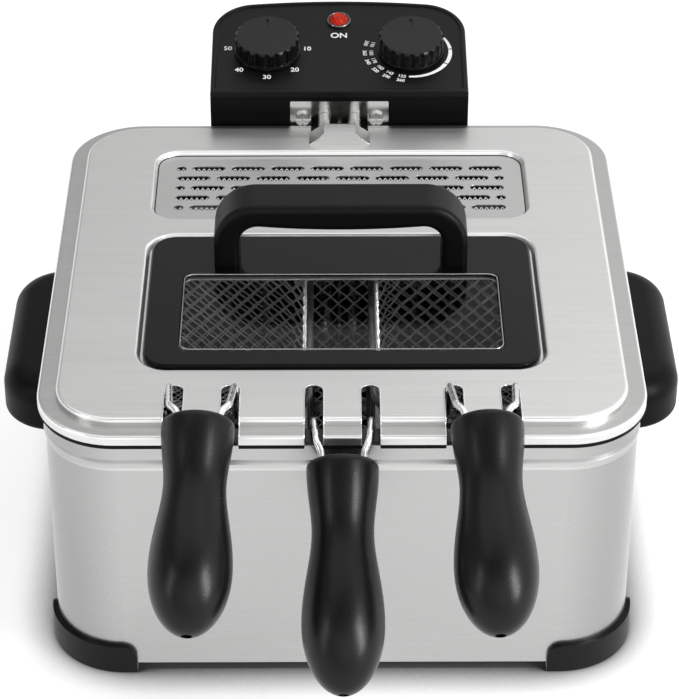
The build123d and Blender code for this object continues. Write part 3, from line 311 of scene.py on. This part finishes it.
def clear_glass(name):
    """Window glass that lets the lamps' light through to the baskets."""
    paint = Paint(name, (0.97, 0.98, 0.98), roughness=0.0, IOR=1.15, Transmission_Weight=1.0)
    paint.vary_roughness(paint.noise(GLASS_SMEARS), *GLASS_ROUGHNESS)
    shadow = paint.nodes.new("ShaderNodeLightPath").outputs["Is Shadow Ray"]
    through = paint.nodes.new("ShaderNodeBsdfTransparent")
    paint.show(paint.shader.outputs["BSDF"], through.outputs["BSDF"], shadow, "Material Output")
    return paint.material


def speckled_lamp(name):
    """A red lens with small facets."""
    paint = Paint(name, (0.42, 0.014, 0.002), roughness=0.2, Specular_IOR_Level=0.15)
    facets = paint.noise(stretch=(900, 900, 900), detail=1.0)
    paint.vary_colour(facets, low=0.45, high=1.5)
    paint.emboss(facets, depth=0.0008)
    return paint.material


lid_paint = brushed_steel("lid_steel", (0.95, 0.95, 0.94), roughness=0.34, stretch=(10, 1500, 1500))
# Painted highlights on the lid's rounded edges and painted shade on its ledge, in bands by height
lid_paint.tint_bands(lid_low.z, LID_RISE, LID_LIGHT_BANDS)
# Painted shade over the sunk vent field
lid_paint.dull_box(
    (0, VENT_MIDDLE, VENT_FLOOR), (VENT_WIDTH / 2, VENT_DEPTH / 2, VENT_BAND), VENT_SHADE
)
LID_STEEL = lid_paint.material

body_paint = brushed_steel(
    "body_steel",
    (0.63, 0.63, 0.625),
    roughness=0.27,
    stretch=(9, 9, 1500),
    contrast=0.01,
    depth=0.0000006,
)
# Painted highlight on the bead
body_paint.tint_bands(0.0, BODY_RISE, BODY_LIGHT_BANDS)
# Painted shade on the housing's corners
body_paint.dull_corners(CORNER_SHADE)
BODY_STEEL = body_paint.material

sheet_paint = brushed_steel("sheet_steel", (0.62, 0.62, 0.61), roughness=0.38, stretch=(14, 900, 900))
SHEET_STEEL = sheet_paint.material

SCREW_STEEL = plain_metal("screw_steel", (0.74, 0.74, 0.73), roughness=0.22)
TUBE_STEEL = plain_metal("tube_steel", (0.62, 0.61, 0.59), roughness=0.25)
WIRE_CHROME = plain_metal("wire_chrome", grey(0.88), roughness=0.24)
MESH_CHROME = plain_metal("mesh_chrome", grey(0.88), roughness=0.52)
# Basket frames and sockets: chrome wire coloured dark grey as painted shade
RIM_SHADED_STEEL = plain_metal("rim_shaded_steel", grey(0.22), roughness=0.35)
EDGE_CHROME = plain_metal("edge_chrome", grey(0.97), roughness=0.2)
BEZEL_CHROME = plain_metal("bezel_chrome", grey(0.45), roughness=0.2)
# Lamp bezel: chrome coloured near black as a painted reflection of its dark surroundings
LAMP_CHROME = plain_metal("lamp_chrome", grey(0.16), roughness=0.25)
PLATE_STEEL = plain_metal("plate_steel", (0.7, 0.7, 0.69), roughness=0.14)
# Filter tray: steel coloured near black as painted shade under the vent slots
TRAY_SHADED_STEEL = plain_metal("tray_shaded_steel", grey(0.12), roughness=0.5)
CONTACT_BRASS = plain_metal("contact_brass", (0.75, 0.6, 0.3), roughness=0.3)

POT_ENAMEL = moulded_plastic("pot_enamel", grey(0.006), roughness=0.3, texture=700, depth=0.00001)
INNER_PLASTIC = moulded_plastic("inner_plastic", (0.07, 0.07, 0.068), roughness=0.5)
PRINT_WHITE = moulded_plastic("print_white", (0.82, 0.82, 0.8), roughness=0.55, texture=3000)

BODY_BLACK = black_plastic("body_black", roughness=0.4, sheen=0.1, edge=0.0009)
PANEL_BLACK = black_plastic("panel_black", roughness=0.42, sheen=0.2, texture=2400, edge=0.0009)
FOOT_BLACK = black_plastic("foot_black", roughness=0.45, sheen=0.2, texture=1400, depth=0.00004)
KNOB_BLACK = black_plastic("knob_black", roughness=0.33, sheen=0.32, edge=0.0005)
GRIP_BLACK = black_plastic("grip_black", roughness=0.31, sheen=0.27)
HANDLE_BLACK = black_plastic("handle_black", roughness=0.4, sheen=0.15)
FRAME_BLACK = black_plastic(
    "frame_black", roughness=0.1, sheen=0.21, texture=600, depth=0.000002, edge=0.0005
)
SEAL_RUBBER = black_plastic("seal_rubber", roughness=0.6, sheen=0.14, texture=900, depth=0.00005)

LAMP_RED = speckled_lamp("lamp_red")
GLASS = clear_glass("window_glass")

FINISHES = {
    LID_STEEL: ["lid_panel"],
    BODY_STEEL: ["outer_housing"],
    SHEET_STEEL: ["base_plate", "guide_rail_left", "guide_rail_right", "element_straps"],
    PLATE_STEEL: ["element_plate"],
    TRAY_SHADED_STEEL: ["filter_tray"],
    SCREW_STEEL: ["foot_screws", "side_handle_screws", "element_screws", "lid_handle_screws"],
    TUBE_STEEL: ["heating_element", "thermostat_probe", "timer_shaft", "temperature_shaft"],
    LAMP_CHROME: ["lamp_bezel"],
    CONTACT_BRASS: ["inlet_pins"],
    POT_ENAMEL: ["oil_pot"],
    BODY_BLACK: ["control_housing", "side_handle_left", "side_handle_right", "power_inlet"],
    PANEL_BLACK: ["control_panel"],
    FOOT_BLACK: ["foot_front_left", "foot_front_right", "foot_rear_left", "foot_rear_right"],
    KNOB_BLACK: ["timer_knob", "temperature_knob"],
    HANDLE_BLACK: ["lid_handle"],
    FRAME_BLACK: ["window_frame"],
    INNER_PLASTIC: [
        "timer_body",
        "thermostat_body",
        "thermal_cutout",
        "terminal_block",
        "safety_switch",
    ],
    SEAL_RUBBER: ["lid_seal"],
    LAMP_RED: ["lamp_lens"],
    GLASS: ["window_glass"],
    MESH_CHROME: ["filter_mesh"],
    RIM_SHADED_STEEL: [],
    WIRE_CHROME: [],
    GRIP_BLACK: [],
}
for basket in BASKETS:
    FINISHES[MESH_CHROME].append(f"{basket}_mesh")
    FINISHES[RIM_SHADED_STEEL] += [f"{basket}_frame", f"{basket}_sockets"]
    FINISHES[WIRE_CHROME].append(f"{basket}_fork")
    FINISHES[GRIP_BLACK].append(f"{basket}_grip")

for material, names in FINISHES.items():
    for name in names:
        cad_nodes[name].data.materials.clear()
        cad_nodes[name].data.materials.append(material)


# Pieces that only the scene has
def add(name, data, material, body, place=Matrix()):
    """Add a piece to the scene, painted, riding on its body."""
    piece = bpy.data.objects.new(name, data)
    piece.matrix_world = place
    bpy.context.scene.collection.objects.link(piece)
    data.materials.append(material)
    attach(piece, body)
    return piece


def new_curve(name, thickness, resolution=1):
    """A curve of round wire."""
    curve = bpy.data.curves.new(name, "CURVE")
    curve.dimensions = "3D"
    curve.bevel_depth = thickness
    curve.bevel_resolution = resolution
    curve.use_fill_caps = True
    return curve


def add_line(curve, points, closed=False):
    """Add one straight-sided run to a curve."""
    spline = curve.splines.new("POLY")
    spline.points.add(len(points) - 1)
    for point, place in zip(spline.points, points):
        point.co = (*place, 1)
    spline.use_cyclic_u = closed


def wall_length(width, depth, corner):
    """Length round a rounded rectangle."""
    return 2 * (width + depth) - 8 * corner + 2 * pi * corner


def wall_point(along, width, depth, corner):
    """Point and outward direction at a distance along a rounded rectangle."""
    flat_x = width / 2 - corner
    flat_y = depth / 2 - corner
    arc = corner * pi / 2
    sides = ((2 * flat_x, 0), (2 * flat_y, 90), (2 * flat_x, 180), (2 * flat_y, 270))
    starts = ((-flat_x, -flat_y), (flat_x, -flat_y), (flat_x, flat_y), (-flat_x, flat_y))
    for (length, heading), (start_x, start_y) in zip(sides, starts):
        run = Vector((cos(radians(heading)), sin(radians(heading))))
        out = Vector((run.y, -run.x))
        start = Vector((start_x, start_y))
        if along <= length:
            return start + run * along + out * corner, out
        along -= length
        if along <= arc:
            turn = radians(heading - 90) + along / corner
            out = Vector((cos(turn), sin(turn)))
            return start + run * length + out * corner, out
        along -= arc
    # Only a distance that rounding carries past the last corner comes this far
    return start + run * length + out * corner, out


# Baskets: woven diamond mesh in place of the coarse panels
MESH_PITCH = 0.0082
MESH_WIRE = 0.00052
MESH_WEAVE = 0.00045
MESH_INSET = MESH_WIRE + MESH_WEAVE
BASKET_ROUND = 0.0183


def weave_walls(curve, centre, width, depth, low, high):
    """Weave the basket's walls: wires rise to the left and to the right, over and under."""
    around = wall_length(width, depth, BASKET_ROUND)
    columns = round(around / MESH_PITCH)
    rows = round((high - low) / (MESH_PITCH / 2))
    across = around / columns
    for lean in (-1, 1):
        for column in range(columns):
            points = []
            for row in range(rows + 1):
                along = (column * across + lean * row * across / 2) % around
                place, out = wall_point(along, width, depth, BASKET_ROUND)
                sway = MESH_WEAVE * lean * (-1) ** row
                place = centre + place + out * sway
                points.append((place.x, place.y, low + (high - low) * row / rows))
            add_line(curve, points)


def inside_floor(x, y, width, depth):
    """Whether a point lies on the basket's round-cornered floor."""
    over_x = max(abs(x) - width / 2 + BASKET_ROUND, 0)
    over_y = max(abs(y) - depth / 2 + BASKET_ROUND, 0)
    return hypot(over_x, over_y) <= BASKET_ROUND


def weave_floor(curve, centre, width, depth, height):
    """Weave the basket's floor of slanting wires."""
    half = MESH_PITCH / 2
    reach = ceil((width + depth) / MESH_PITCH)
    for lean in (-1, 1):
        for wire in range(-reach, reach + 1):
            points = []
            for step in range(-2 * reach, 2 * reach + 1):
                x = wire * MESH_PITCH + step * half
                y = lean * step * half
                if inside_floor(x, y, width, depth):
                    sway = MESH_WEAVE * lean * (-1) ** step
                    points.append((centre.x + x, centre.y + y, height + sway))
            if len(points) > 1:
                add_line(curve, points)


for basket in BASKETS:
    low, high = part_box(f"{basket}_mesh")
    centre = Vector(((low.x + high.x) / 2, (low.y + high.y) / 2))
    width = high.x - low.x - 2 * MESH_INSET
    depth = high.y - low.y - 2 * MESH_INSET
    mesh = new_curve(f"{basket}_weave", MESH_WIRE, resolution=0)
    weave_walls(mesh, centre, width, depth, low.z + MESH_INSET, high.z)
    weave_floor(mesh, centre, width, depth, low.z + MESH_INSET)
    piece = add(f"{basket}_weave", mesh, MESH_CHROME, basket)
    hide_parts(f"{basket}_mesh")


# Filter: a zigzag wire below each row of vent slots, in place of the plain sheet
VENT_ROWS = 5
VENT_ROW_PITCH = 0.0095
FILTER_PITCH = 0.0026
FILTER_SWING = 0.0015
FILTER_SHIFT = 0.0002
FILTER_WIRE = 0.00042
filter_wires = new_curve("filter_wires", FILTER_WIRE)
step_count = int(2 * (filter_high.x - filter_low.x) / FILTER_PITCH)
for row in range(VENT_ROWS):
    row_y = VENT_MIDDLE + (row - (VENT_ROWS - 1) / 2) * VENT_ROW_PITCH + FILTER_SHIFT
    zigzag = []
    for step in range(step_count + 1):
        x = filter_low.x + step * FILTER_PITCH / 2
        zigzag.append((x, row_y + FILTER_SWING * (-1) ** step, filter_high.z - FILTER_WIRE))
    add_line(filter_wires, zigzag)
filter_piece = add("filter_wires", filter_wires, MESH_CHROME, "lid")
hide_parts("filter_mesh")


# Lid: thin bright trim in the window frame's opening, and a dark line round the vent field's floor as
# painted shade at the foot of its wall
VIEW_WIDTH = 0.147
VIEW_DEPTH = 0.0634
VIEW_CORNER = 0.004
TRIM_WIRE = 0.00035
SHADE_LINE_WIRE = 0.0003
LOOP_STEPS = 160


def add_loop(name, thickness, material, centre, width, depth, corner, height):
    """Lay a thin wire on the lid round a rounded rectangle."""
    loop = new_curve(name, thickness)
    spacing = wall_length(width, depth, corner) / LOOP_STEPS
    points = []
    for step in range(LOOP_STEPS):
        place = wall_point(step * spacing, width, depth, corner)[0]
        points.append((*(centre + place), height))
    add_line(loop, points, closed=True)
    add(name, loop, material, "lid")


add_loop(
    "glass_trim",
    TRIM_WIRE,
    BEZEL_CHROME,
    centre=Vector(((glass_low.x + glass_high.x) / 2, (glass_low.y + glass_high.y) / 2)),
    width=VIEW_WIDTH,
    depth=VIEW_DEPTH,
    corner=VIEW_CORNER,
    height=FRAME_TOP,
)
# The vent line is a dark wire laid as painted shade at the foot of the vent field's wall
add_loop(
    "vent_shade_line",
    SHADE_LINE_WIRE,
    SEAL_RUBBER,
    centre=Vector((0, VENT_MIDDLE)),
    width=VENT_WIDTH - 2 * VENT_WALL,
    depth=VENT_DEPTH - 2 * VENT_WALL,
    corner=VENT_CORNER - VENT_WALL,
    height=VENT_FLOOR,
)

# Lid: bright punched edges of the six wire slots in its front
SLOT_PAIRS = (-0.062, 0.0, 0.062)
SLOT_PITCH = 0.025
SLOT_WIDTH = 0.0082
SLOT_REACH = 0.0345
SLOT_STEPS = 48
SLOT_ARC_STEPS = 14
RIM_WIRE = 0.0003
RIM_OFFSET = 0.0002
RIM_HALF = SLOT_WIDTH / 2 + RIM_OFFSET
ROLL_INSET = 0.0009
ABOVE_LID = 0.05


def on_lid_top(x, y):
    """The point on the lid's upper face at a place, or on its lower edge where there is no face."""
    start = Vector((x, y, lid_high.z + ABOVE_LID))
    found, place = cad_nodes["lid_panel"].ray_cast(start, Vector((0, 0, -1)))[:2]
    return tuple(place) if found else (x, y, lid_low.z)


def slot_edge(slot_x):
    """Points along a slot's edge: in on the left, round its end and out on the right."""
    front = lid_low.y + ROLL_INSET
    end = lid_low.y + SLOT_REACH - SLOT_WIDTH / 2
    left = slot_x - RIM_HALF
    right = slot_x + RIM_HALF
    straight = [front + (end - front) * step / SLOT_STEPS for step in range(SLOT_STEPS + 1)]
    spots = [(left, y) for y in straight]
    for step in range(1, SLOT_ARC_STEPS):
        turn = pi - pi * step / SLOT_ARC_STEPS
        spots.append((slot_x + RIM_HALF * cos(turn), end + RIM_HALF * sin(turn)))
    spots += [(right, y) for y in reversed(straight)]
    foot = (lid_low.y + RIM_WIRE, lid_low.z + RIM_WIRE)
    return [(left, *foot), *(on_lid_top(x, y) for x, y in spots), (right, *foot)]


slot_rims = new_curve("slot_rims", RIM_WIRE)
for pair_x in SLOT_PAIRS:
    for side in (-1, 1):
        add_line(slot_rims, slot_edge(pair_x + side * SLOT_PITCH / 2))
add("slot_rims", slot_rims, EDGE_CHROME, "lid")


# Printing on the control panel's sunk, sloping face. Turns are clockwise from up. A timer mark is
# its minutes and turn, a heat mark its outer and inner number and its turn, and an arc its first
# and last turn and its width at each.
PANEL_TILT = 11.5
PANEL_FACE = 0.1525
PANEL_SINK = 0.0007
PRINT_LIFT = 0.00006
TEXT_WEIGHT = 0.018
DIAL_X = 0.0375
DIAL_UP = 0.0335
TIMER_RING = 0.0208
TIMER_TEXT = 0.0044
TIMER_MARKS = ((10, 84), (20, 136), (30, 180), (40, 224), (50, 277), (60, 318))
OUTER_RING = 0.0242
INNER_RING = 0.0208
HEAT_TEXT = 0.0029
HEAT_MARKS = (
    (380, 190, 286),
    (360, 180, 267),
    (340, 170, 249),
    (320, 160, 231),
    (290, 145, 213),
    (260, 125, 194),
)
ARC_RING = 0.0206
ARC_SPACING = 4
ARC_LEAST_STEPS = 6
HEAT_ARCS = ((58, 84, 0.0012, 0.0018), (86, 118, 0.0018, 0.0022), (120, 184, 0.0022, 0.0014))
LAMP_WORD_UP = 0.0465
LAMP_TEXT = 0.0056
SLOPE = Matrix.Rotation(radians(PANEL_TILT), 4, "X")
PANEL_PLACE = Matrix.Translation((0, PANEL_FRONT, PANEL_FACE)) @ SLOPE


def print_piece(name, data, x, up, turn=0.0):
    """Lay a printed piece on the panel, to the right of its middle and up from its front."""
    spot = Matrix.Translation((x, up, PRINT_LIFT - PANEL_SINK))
    place = PANEL_PLACE @ spot @ Matrix.Rotation(radians(-turn), 4, "Z")
    add(name, data, PRINT_WHITE, "control_unit", place)


def print_text(name, words, x, up, size, turn=0.0):
    """Print a short generic mark on the panel."""
    text = bpy.data.curves.new(name, "FONT")
    text.body = words
    text.size = size
    text.align_x = "CENTER"
    text.align_y = "CENTER"
    text.offset = size * TEXT_WEIGHT
    text.extrude = PRINT_LIFT / 2
    print_piece(name, text, x, up, turn)


def on_ring(ring, turn):
    """Place on a ring, from its middle: to the right and up."""
    return sin(radians(turn)) * ring, cos(radians(turn)) * ring


def print_arc(name, start, end, width_start, width_end):
    """Print a tapering arc round the temperature dial."""
    steps = max(ARC_LEAST_STEPS, ceil(abs(end - start) / ARC_SPACING))
    vertices = []
    for step in range(steps + 1):
        share = step / steps
        turn = start + (end - start) * share
        half = (width_start + (width_end - width_start) * share) / 2
        vertices += [(*on_ring(ARC_RING + side * half, turn), 0) for side in (-1, 1)]
    faces = [(2 * step, 2 * step + 1, 2 * step + 3, 2 * step + 2) for step in range(steps)]
    mesh = bpy.data.meshes.new(name)
    mesh.from_pydata(vertices, [], faces)
    print_piece(name, mesh, DIAL_X, DIAL_UP)


for minutes, turn in TIMER_MARKS:
    x, up = on_ring(TIMER_RING, turn)
    print_text(f"timer_{minutes}", str(minutes), x - DIAL_X, up + DIAL_UP, TIMER_TEXT)

# Each heat mark stands with its head to the dial
for outer, inner, turn in HEAT_MARKS:
    for ring, heat in ((OUTER_RING, outer), (INNER_RING, inner)):
        x, up = on_ring(ring, turn)
        print_text(f"heat_{heat}", str(heat), x + DIAL_X, up + DIAL_UP, HEAT_TEXT, turn - 180)

for number, arc in enumerate(HEAT_ARCS):
    print_arc(f"heat_arc_{number}", *arc)
print_text("lamp_word", "ON", 0, LAMP_WORD_UP, LAMP_TEXT)


# Floor: grey and glow in the open, and a painted contact shadow close to the object that only the
# camera sees
FLOOR_HALF = 6.0
FLOOR_GREY = 0.42
FLOOR_ROUGHNESS = 0.9
FLOOR_GLOW = 0.68
CONTACT_GREY = 0.05
CONTACT_REACH = 0.04
CONTACT_RANGE = (0.48, 0.82)
CONTACT_SAMPLES = 16

# World: greys from the horizon up, strength from left to right, and where the backdrop fades
WORLD_FALL = ((0.0, grey(0.75)), (0.65, grey(0.7)), (0.95, grey(0.2)))
WORLD_SIDES = (-0.3, 0.3)
WORLD_STRENGTH = (0.5, 1.45)
BACKDROP_FADE = (0.1, 0.3)

# Lamps: name, place, size and power, all turned to the object's middle
OBJECT_MIDDLE = Vector((0, 0, 0.08))
LAMPS = (
    ("top_light", (-0.1, 0.5, 2.2), (3.0, 2.2), 20),
    ("front_light", (-0.3, -1.9, 1.3), (2.2, 1.3), 5),
    ("left_light", (-1.7, -1.0, 1.1), (0.3, 1.2), 6),
    ("right_light", (1.6, -1.1, 1.1), (0.45, 1.2), 34),
)


def make_floor():
    """A pale floor that shows white, keeps the object's shadow and has a painted contact shadow close
    to it.
    """
    mesh = bpy.data.meshes.new("floor")
    corners = ((-1, -1), (1, -1), (1, 1), (-1, 1))
    mesh.from_pydata([(FLOOR_HALF * x, FLOOR_HALF * y, 0) for x, y in corners], [], [(0, 1, 2, 3)])
    floor = bpy.data.objects.new("floor", mesh)
    bpy.context.scene.collection.objects.link(floor)
    paint = Paint("floor_white", grey(FLOOR_GREY), FLOOR_ROUGHNESS)
    # Painted contact shadow: ambient occlusion darkens the floor near the object, for camera rays only
    near = paint.nodes.new("ShaderNodeAmbientOcclusion")
    near.samples = CONTACT_SAMPLES
    near.inputs["Distance"].default_value = CONTACT_REACH
    clear = paint.remap(near.outputs["AO"], CONTACT_RANGE)
    path = paint.nodes.new("ShaderNodeLightPath").outputs
    unseen = paint.reckon("SUBTRACT", 1.0, path["Is Camera Ray"])
    lit = paint.reckon("MAXIMUM", clear, unseen)
    shades = ((0.0, grey(CONTACT_GREY)), (1.0, grey(FLOOR_GREY)))
    paint.set("Base Color", paint.ramp(lit, shades))
    glow = paint.reckon("MULTIPLY", paint.seen_rays(), FLOOR_GLOW)
    paint.set("Emission Color", (1, 1, 1, 1))
    paint.set("Emission Strength", paint.reckon("MULTIPLY", glow, lit))
    mesh.materials.append(paint.material)


def make_world():
    """A plain studio: a white backdrop low down, and a soft fall of light above it."""
    world = bpy.data.worlds.new("studio")
    world.use_nodes = True
    studio = Shading(world.node_tree)
    heading = studio.axes(studio.place("Generated"))
    around = studio.nodes["Background"]
    studio.feed(around.inputs["Color"], studio.ramp(heading["Z"], WORLD_FALL))
    strength = studio.remap(heading["X"], WORLD_SIDES, WORLD_STRENGTH)
    studio.feed(around.inputs["Strength"], strength)
    backdrop = studio.nodes.new("ShaderNodeBackground")
    backdrop.inputs["Color"].default_value = (1, 1, 1, 1)
    low = studio.remap(heading["Z"], BACKDROP_FADE, (1.0, 0.0))
    behind = studio.reckon("MULTIPLY", studio.seen_rays(), low)
    light = around.outputs["Background"]
    studio.show(light, backdrop.outputs["Background"], behind, "World Output")
    bpy.context.scene.world = world


def add_softbox(name, place, size, power):
    """A rectangular soft lamp turned to the object's middle."""
    lamp = bpy.data.lights.new(name, "AREA")
    lamp.shape = "RECTANGLE"
    lamp.size, lamp.size_y = size
    lamp.energy = power
    holder = bpy.data.objects.new(name, lamp)
    holder.location = place
    holder.rotation_euler = (OBJECT_MIDDLE - Vector(place)).to_track_quat("-Z", "Y").to_euler()
    bpy.context.scene.collection.objects.link(holder)


def add_camera():
    """The scene's camera, turned to its aim and rolled."""
    camera = bpy.data.cameras.new("camera")
    camera.lens = CAMERA_LENS
    camera.sensor_width = CAMERA_SENSOR
    camera.clip_start = CAMERA_NEAR
    holder = bpy.data.objects.new("camera", camera)
    toward = (CAMERA_AIM - CAMERA_PLACE).to_track_quat("-Z", "Y").to_matrix().to_4x4()
    roll = Matrix.Rotation(radians(CAMERA_ROLL), 4, "Z")
    holder.matrix_world = Matrix.Translation(CAMERA_PLACE) @ toward @ roll
    bpy.context.scene.collection.objects.link(holder)
    bpy.context.scene.camera = holder


make_floor()
make_world()
for lamp in LAMPS:
    add_softbox(*lamp)
add_camera()
bpy.context.scene.view_settings.view_transform = "Standard"
